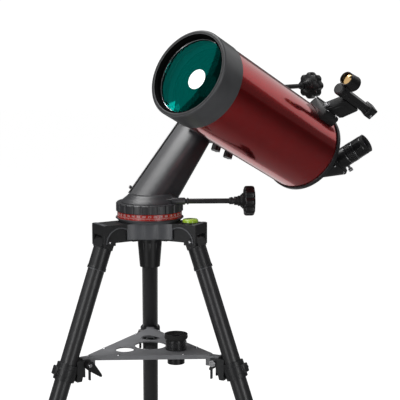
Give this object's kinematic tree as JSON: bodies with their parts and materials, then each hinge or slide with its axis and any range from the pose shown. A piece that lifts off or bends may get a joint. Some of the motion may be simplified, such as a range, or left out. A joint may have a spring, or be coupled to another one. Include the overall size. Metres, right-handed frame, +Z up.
{
  "type": "maksutov-cassegrain telescope on altazimuth tripod",
  "caption": "Short closed-tube reflecting telescope on a leaning single-arm altazimuth mount with slow-motion knobs, on a folding tripod with an accessory tray.",
  "frame": {"origin": "on the floor, under the middle of the whole object's bounding box", "axes": "+Z up; +Y towards the rear leg, so the two front legs are at the -Y side; the tube points up and towards -X -Y"},
  "size_m": [0.752, 0.5847, 1.098],
  "materials": {
    "cast_grey": "satin cast and painted",
    "black_metal": "satin black",
    "arm_paint": "satin dark grey",
    "leg_black": "semi-matt black tube",
    "bright_steel": "bright",
    "steel_tube": "brushed",
    "level_green": "translucent",
    "rubber": "matt",
    "tray_grey": "satin",
    "black_plastic": "satin",
    "red_scale": "gloss",
    "brass": "machined",
    "tube_red": "deep gloss",
    "coated_glass": "green anti-reflection coating",
    "aluminised": "mirror back",
    "mirror": "polished",
    "bar_red": "gloss",
    "eyepiece_black": "anodised"
  },
  "bodies": {
    "tripod_head": {"hub": "cast_grey", "pivot_bolts": "bright_steel", "bubble_level": "level_green", "azimuth_base": "black_metal"},
    "leg_1": {"leg_head_1": "black_metal", "leg_tube_1": "leg_black", "tray_bracket_1": "black_metal", "leg_lock_1": "black_metal"},
    "lower_1": {"lower_leg_1": "steel_tube", "foot_1": "rubber"},
    "leg_clamp_1": {"lock_knob_1": "black_plastic"},
    "wing_1": {"wing_lever_1": "black_plastic"},
    "leg_2": {"leg_head_2": "black_metal", "leg_tube_2": "leg_black", "tray_bracket_2": "black_metal", "leg_lock_2": "black_metal"},
    "lower_2": {"lower_leg_2": "steel_tube", "foot_2": "rubber"},
    "leg_clamp_2": {"lock_knob_2": "black_plastic"},
    "wing_2": {"wing_lever_2": "black_plastic"},
    "leg_3": {"leg_head_3": "black_metal", "leg_tube_3": "leg_black", "tray_bracket_3": "black_metal", "leg_lock_3": "black_metal"},
    "lower_3": {"lower_leg_3": "steel_tube", "foot_3": "rubber"},
    "leg_clamp_3": {"lock_knob_3": "black_plastic"},
    "wing_3": {"wing_lever_3": "black_plastic"},
    "tray_unit": {"tray": "tray_grey", "tray_bolts": "bright_steel"},
    "spare": {"spare_eyepiece": "eyepiece_black", "spare_eyecup": "rubber"},
    "circle": {"setting_circle": "red_scale"},
    "azimuth_clutch": {"azimuth_wheel": "brass"},
    "clutch_tension": {"tension_knob": "black_plastic"},
    "turret": {"turntable": "black_metal", "arm": "arm_paint", "arm_cover": "black_metal"},
    "azimuth_drive": {"azimuth_rod": "steel_tube", "azimuth_knob": "black_plastic"},
    "altitude_clutch": {"altitude_wheel": "brass"},
    "altitude_drive": {"altitude_rod": "steel_tube", "altitude_knob": "black_plastic"},
    "cradle": {"saddle": "arm_paint"},
    "cradle_clamp_1": {"saddle_knob_1": "black_plastic"},
    "cradle_clamp_2": {"saddle_knob_2": "black_plastic"},
    "telescope": {"dovetail_bar": "bar_red", "tube": "tube_red", "front_ring": "black_metal", "corrector": "coated_glass", "secondary_spot": "aluminised", "rear_cell": "black_metal", "visual_back": "black_metal", "finder_bracket": "black_plastic"},
    "mirror": {"primary_mirror": "mirror"},
    "focuser": {"focus_knob": "black_plastic"},
    "star_diagonal": {"diagonal": "black_plastic"},
    "ocular": {"eyepiece": "eyepiece_black", "eyecup": "rubber"},
    "finder": {"finder_body": "black_plastic"}
  },
  "joints": [
    {"name": "leg_1_fold", "type": "hinge", "parent": "tripod_head", "child": "leg_1", "pos_m": [-0.0583, 0.01502, 0.72499], "axis": [-1, 0, 0], "range_deg": [0, 10.5]},
    {"name": "lower_leg_1_slide", "type": "slide", "parent": "leg_1", "child": "lower_1", "axis": [0, 0.3345, -0.9424], "range_m": [-0.15, 0.08]},
    {"name": "leg_clamp_1_turn", "type": "hinge", "parent": "leg_1", "child": "leg_clamp_1", "pos_m": [-0.0583, 0.21725, 0.22992], "axis": [0, 0.9424, 0.3345], "range_deg": [-90, 450]},
    {"name": "wing_1_turn", "type": "hinge", "parent": "tray_unit", "child": "wing_1", "pos_m": [-0.0763, 0.059, 0.508], "axis": [-1, 0, 0], "range_deg": [-60, 40]},
    {"name": "leg_2_fold", "type": "hinge", "parent": "tripod_head", "child": "leg_2", "pos_m": [-0.13885, -0.12451, 0.72499], "axis": [0.5, -0.866, 0], "range_deg": [0, 10.5]},
    {"name": "lower_leg_2_slide", "type": "slide", "parent": "leg_2", "child": "lower_2", "axis": [-0.2897, -0.1672, -0.9424], "range_m": [-0.15, 0.08]},
    {"name": "leg_clamp_2_turn", "type": "hinge", "parent": "leg_2", "child": "leg_clamp_2", "pos_m": [-0.31399, -0.22562, 0.22992], "axis": [-0.8161, -0.4712, 0.3345], "range_deg": [-90, 450]},
    {"name": "wing_2_turn", "type": "hinge", "parent": "tray_unit", "child": "wing_2", "pos_m": [-0.16795, -0.16209, 0.508], "axis": [0.5, -0.866, 0], "range_deg": [-60, 40]},
    {"name": "leg_3_fold", "type": "hinge", "parent": "tripod_head", "child": "leg_3", "pos_m": [0.02225, -0.12451, 0.72499], "axis": [0.5, 0.866, 0], "range_deg": [0, 10.5]},
    {"name": "lower_leg_3_slide", "type": "slide", "parent": "leg_3", "child": "lower_3", "axis": [0.2897, -0.1672, -0.9424], "range_m": [-0.15, 0.08]},
    {"name": "leg_clamp_3_turn", "type": "hinge", "parent": "leg_3", "child": "leg_clamp_3", "pos_m": [0.19739, -0.22562, 0.22992], "axis": [0.8161, -0.4712, 0.3345], "range_deg": [-90, 450]},
    {"name": "wing_3_turn", "type": "hinge", "parent": "tray_unit", "child": "wing_3", "pos_m": [0.06935, -0.13091, 0.508], "axis": [0.5, 0.866, 0], "range_deg": [-60, 40]},
    {"name": "tray_release", "type": "slide", "parent": "tripod_head", "child": "tray_unit", "axis": [0, 0, -1], "range_m": [0, 0.25]},
    {"name": "spare_eyepiece_lift", "type": "slide", "parent": "tray_unit", "child": "spare", "axis": [0, 0, 1], "range_m": [0, 0.05]},
    {"name": "setting_circle_turn", "type": "hinge", "parent": "tripod_head", "child": "circle", "pos_m": [-0.0583, -0.078, 0.768], "axis": [0, 0, 1], "continuous": true},
    {"name": "azimuth_clutch_turn", "type": "hinge", "parent": "tripod_head", "child": "azimuth_clutch", "pos_m": [-0.0583, -0.078, 0.78], "axis": [0, 0, 1], "continuous": true},
    {"name": "clutch_tension_turn", "type": "hinge", "parent": "azimuth_clutch", "child": "clutch_tension", "pos_m": [-0.0583, -0.078, 0.75], "axis": [0, 0, 1], "range_deg": [-90, 450]},
    {"name": "azimuth_fine_turn", "type": "hinge", "parent": "azimuth_clutch", "child": "turret", "pos_m": [-0.0583, -0.078, 0.782], "axis": [0, 0, 1], "continuous": true},
    {"name": "azimuth_knob_turn", "type": "hinge", "parent": "turret", "child": "azimuth_drive", "pos_m": [0.0417, -0.108, 0.794], "axis": [1, 0, 0], "continuous": true},
    {"name": "altitude_clutch_turn", "type": "hinge", "parent": "turret", "child": "altitude_clutch", "pos_m": [0.06757, 0.00827, 0.926], "axis": [-0.7071, 0.7071, 0], "range_deg": [-28, 30]},
    {"name": "altitude_fine_turn", "type": "hinge", "parent": "altitude_clutch", "child": "cradle", "pos_m": [0.06757, 0.00827, 0.926], "axis": [-0.7071, 0.7071, 0], "range_deg": [-4, 4]},
    {"name": "altitude_knob_turn", "type": "hinge", "parent": "turret", "child": "altitude_drive", "pos_m": [0.14818, 0.06908, 0.9858], "axis": [0.7071, 0.7071, 0], "range_deg": [-240, 240]},
    {"name": "cradle_clamp_1_turn", "type": "hinge", "parent": "cradle", "child": "cradle_clamp_1", "pos_m": [0.07074, -0.0423, 0.90206], "axis": [0.3033, 0.3033, 0.9033], "range_deg": [-90, 450]},
    {"name": "cradle_clamp_2_turn", "type": "hinge", "parent": "cradle", "child": "cradle_clamp_2", "pos_m": [0.09438, -0.01866, 0.88619], "axis": [0.3033, 0.3033, 0.9033], "range_deg": [-90, 450]},
    {"name": "dovetail_slide", "type": "slide", "parent": "cradle", "child": "telescope", "axis": [-0.6388, -0.6388, 0.4289], "range_m": [-0.02, 0.02]},
    {"name": "mirror_focus", "type": "slide", "parent": "telescope", "child": "mirror", "axis": [-0.6388, -0.6388, 0.4289], "range_m": [-0.003, 0.009]},
    {"name": "focus_knob_turn", "type": "hinge", "parent": "telescope", "child": "focuser", "pos_m": [0.20636, 0.00988, 0.83901], "axis": [-0.6388, -0.6388, 0.4289], "range_deg": [-1080, 3240]},
    {"name": "diagonal_turn", "type": "hinge", "parent": "telescope", "child": "star_diagonal", "pos_m": [0.25126, 0.01236, 0.86295], "axis": [-0.6388, -0.6388, 0.4289], "continuous": true},
    {"name": "eyepiece_slide", "type": "slide", "parent": "star_diagonal", "child": "ocular", "axis": [0.7439, -0.3705, 0.5561], "range_m": [0, 0.04]},
    {"name": "finder_aim", "type": "hinge", "parent": "telescope", "child": "finder", "pos_m": [0.31074, -0.03816, 0.96255], "axis": [0.6869, -0.2222, 0.692], "range_deg": [-3, 3]}
  ],
  "couplings": [
    {"joint": "leg_1_fold", "follows": "tray_release", "rad_per_m": 0.73304},
    {"joint": "leg_2_fold", "follows": "tray_release", "rad_per_m": 0.73304},
    {"joint": "leg_3_fold", "follows": "tray_release", "rad_per_m": 0.73304},
    {"joint": "azimuth_knob_turn", "follows": "azimuth_fine_turn", "ratio": 36},
    {"joint": "altitude_knob_turn", "follows": "altitude_fine_turn", "ratio": 60},
    {"joint": "focus_knob_turn", "follows": "mirror_focus", "rad_per_m": 6283.2}
  ]
}
